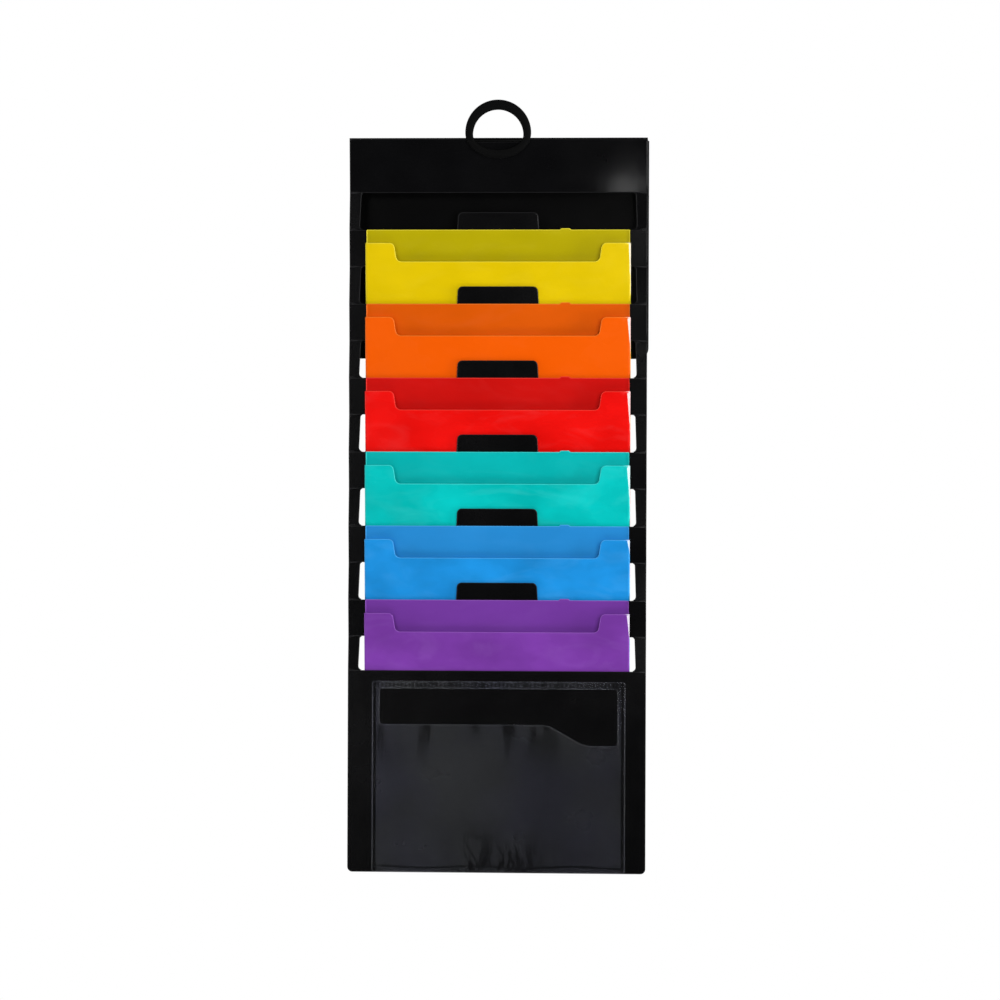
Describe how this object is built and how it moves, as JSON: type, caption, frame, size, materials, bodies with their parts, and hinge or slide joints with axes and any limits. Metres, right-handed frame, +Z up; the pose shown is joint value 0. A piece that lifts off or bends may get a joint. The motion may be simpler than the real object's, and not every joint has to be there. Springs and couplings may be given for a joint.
{
  "type": "hanging file rack",
  "caption": "Cascading wall file: a black folded sheet carries leaning coloured pockets with index tabs, a clear-pocket front cover, a back cover and a hanging ring.",
  "frame": {"origin": "hook seat: the top of the hole in the hanging ring, where a hook carries the rack", "axes": "+Z up, +Y into the wall, -Y towards the user, +X to the user's right"},
  "size_m": [0.3376, 0.037, 0.867],
  "materials": {
    "black_sheet": "satin black polypropylene sheet with a fine grain",
    "ring_plastic": "moulded matte black",
    "clear_film": "clear glossy film",
    "weld_rim": "clear welded rim with a pressed pattern",
    "yellow_sheet": "coloured polypropylene sheet, satin",
    "orange_sheet": "coloured polypropylene sheet, satin",
    "red_sheet": "coloured polypropylene sheet, satin",
    "teal_sheet": "coloured polypropylene sheet, satin",
    "blue_sheet": "coloured polypropylene sheet, satin",
    "purple_sheet": "coloured polypropylene sheet, satin"
  },
  "bodies": {
    "header": {"header_panel": "black_sheet", "hanging_ring": "ring_plastic"},
    "spine": {"spine_panel": "black_sheet"},
    "back_cover": {"back_cover": "black_sheet"},
    "straps_1": {"strap_left_1": "black_sheet", "strap_right_1": "black_sheet"},
    "pocket_1": {"crossbar_1": "black_sheet", "yellow_pocket_back": "yellow_sheet", "yellow_pocket_front": "yellow_sheet", "yellow_pocket_gusset_left": "yellow_sheet", "yellow_pocket_gusset_right": "yellow_sheet", "yellow_pocket_gusset_bottom": "yellow_sheet"},
    "straps_2": {"strap_left_2": "black_sheet", "strap_right_2": "black_sheet"},
    "pocket_2": {"crossbar_2": "black_sheet", "orange_pocket_back": "orange_sheet", "orange_pocket_front": "orange_sheet", "orange_pocket_gusset_left": "orange_sheet", "orange_pocket_gusset_right": "orange_sheet", "orange_pocket_gusset_bottom": "orange_sheet"},
    "straps_3": {"strap_left_3": "black_sheet", "strap_right_3": "black_sheet"},
    "pocket_3": {"crossbar_3": "black_sheet", "red_pocket_back": "red_sheet", "red_pocket_front": "red_sheet", "red_pocket_gusset_left": "red_sheet", "red_pocket_gusset_right": "red_sheet", "red_pocket_gusset_bottom": "red_sheet"},
    "straps_4": {"strap_left_4": "black_sheet", "strap_right_4": "black_sheet"},
    "pocket_4": {"crossbar_4": "black_sheet", "teal_pocket_back": "teal_sheet", "teal_pocket_front": "teal_sheet", "teal_pocket_gusset_left": "teal_sheet", "teal_pocket_gusset_right": "teal_sheet", "teal_pocket_gusset_bottom": "teal_sheet"},
    "straps_5": {"strap_left_5": "black_sheet", "strap_right_5": "black_sheet"},
    "pocket_5": {"crossbar_5": "black_sheet", "blue_pocket_back": "blue_sheet", "blue_pocket_front": "blue_sheet", "blue_pocket_gusset_left": "blue_sheet", "blue_pocket_gusset_right": "blue_sheet", "blue_pocket_gusset_bottom": "blue_sheet"},
    "straps_6": {"strap_left_6": "black_sheet", "strap_right_6": "black_sheet"},
    "pocket_6": {"crossbar_6": "black_sheet", "purple_pocket_back": "purple_sheet", "purple_pocket_front": "purple_sheet", "purple_pocket_gusset_left": "purple_sheet", "purple_pocket_gusset_right": "purple_sheet", "purple_pocket_gusset_bottom": "purple_sheet"},
    "straps_7": {"strap_left_7": "black_sheet", "strap_right_7": "black_sheet"},
    "front_cover": {"front_cover": "black_sheet", "clear_pocket_film": "clear_film", "clear_pocket_weld_rim": "weld_rim"}
  },
  "joints": [
    {"name": "spine_fold", "type": "hinge", "parent": "header", "child": "spine", "pos_m": [0, 0.00593, -0.03155], "axis": [1, 0, 0], "range_deg": [0, 90]},
    {"name": "back_cover_fold", "type": "hinge", "parent": "spine", "child": "back_cover", "pos_m": [0, 0.03363, -0.03155], "axis": [1, 0, 0], "range_deg": [0, 90]},
    {"name": "strap_fold_1", "type": "hinge", "parent": "header", "child": "straps_1", "pos_m": [0, 0.01149, -0.0921], "axis": [-1, 0, 0], "range_deg": [0, 158]},
    {"name": "pocket_fold_1", "type": "hinge", "parent": "straps_1", "child": "pocket_1", "pos_m": [0, 0.00793, -0.13366], "axis": [-1, 0, 0], "range_deg": [-158, 0]},
    {"name": "strap_fold_2", "type": "hinge", "parent": "pocket_1", "child": "straps_2", "pos_m": [0, 0.01149, -0.17521], "axis": [-1, 0, 0], "range_deg": [0, 158]},
    {"name": "pocket_fold_2", "type": "hinge", "parent": "straps_2", "child": "pocket_2", "pos_m": [0, 0.00793, -0.21677], "axis": [-1, 0, 0], "range_deg": [-158, 0]},
    {"name": "strap_fold_3", "type": "hinge", "parent": "pocket_2", "child": "straps_3", "pos_m": [0, 0.01149, -0.25832], "axis": [-1, 0, 0], "range_deg": [0, 158]},
    {"name": "pocket_fold_3", "type": "hinge", "parent": "straps_3", "child": "pocket_3", "pos_m": [0, 0.00793, -0.29988], "axis": [-1, 0, 0], "range_deg": [-158, 0]},
    {"name": "strap_fold_4", "type": "hinge", "parent": "pocket_3", "child": "straps_4", "pos_m": [0, 0.01149, -0.34143], "axis": [-1, 0, 0], "range_deg": [0, 158]},
    {"name": "pocket_fold_4", "type": "hinge", "parent": "straps_4", "child": "pocket_4", "pos_m": [0, 0.00793, -0.38299], "axis": [-1, 0, 0], "range_deg": [-158, 0]},
    {"name": "strap_fold_5", "type": "hinge", "parent": "pocket_4", "child": "straps_5", "pos_m": [0, 0.01149, -0.42455], "axis": [-1, 0, 0], "range_deg": [0, 158]},
    {"name": "pocket_fold_5", "type": "hinge", "parent": "straps_5", "child": "pocket_5", "pos_m": [0, 0.00793, -0.4661], "axis": [-1, 0, 0], "range_deg": [-158, 0]},
    {"name": "strap_fold_6", "type": "hinge", "parent": "pocket_5", "child": "straps_6", "pos_m": [0, 0.01149, -0.50765], "axis": [-1, 0, 0], "range_deg": [0, 158]},
    {"name": "pocket_fold_6", "type": "hinge", "parent": "straps_6", "child": "pocket_6", "pos_m": [0, 0.00793, -0.54921], "axis": [-1, 0, 0], "range_deg": [-158, 0]},
    {"name": "strap_fold_7", "type": "hinge", "parent": "pocket_6", "child": "straps_7", "pos_m": [0, 0.01149, -0.59077], "axis": [-1, 0, 0], "range_deg": [0, 158]},
    {"name": "front_cover_fold", "type": "hinge", "parent": "straps_7", "child": "front_cover", "pos_m": [0, 0.00831, -0.62864], "axis": [-1, 0, 0], "range_deg": [-164, 0]}
  ],
  "couplings": [
    {"joint": "pocket_fold_1", "follows": "strap_fold_1", "ratio": -1},
    {"joint": "pocket_fold_2", "follows": "strap_fold_2", "ratio": -1},
    {"joint": "pocket_fold_3", "follows": "strap_fold_3", "ratio": -1},
    {"joint": "pocket_fold_4", "follows": "strap_fold_4", "ratio": -1},
    {"joint": "pocket_fold_5", "follows": "strap_fold_5", "ratio": -1},
    {"joint": "pocket_fold_6", "follows": "strap_fold_6", "ratio": -1},
    {"joint": "front_cover_fold", "follows": "strap_fold_7", "ratio": -1.0379}
  ]
}
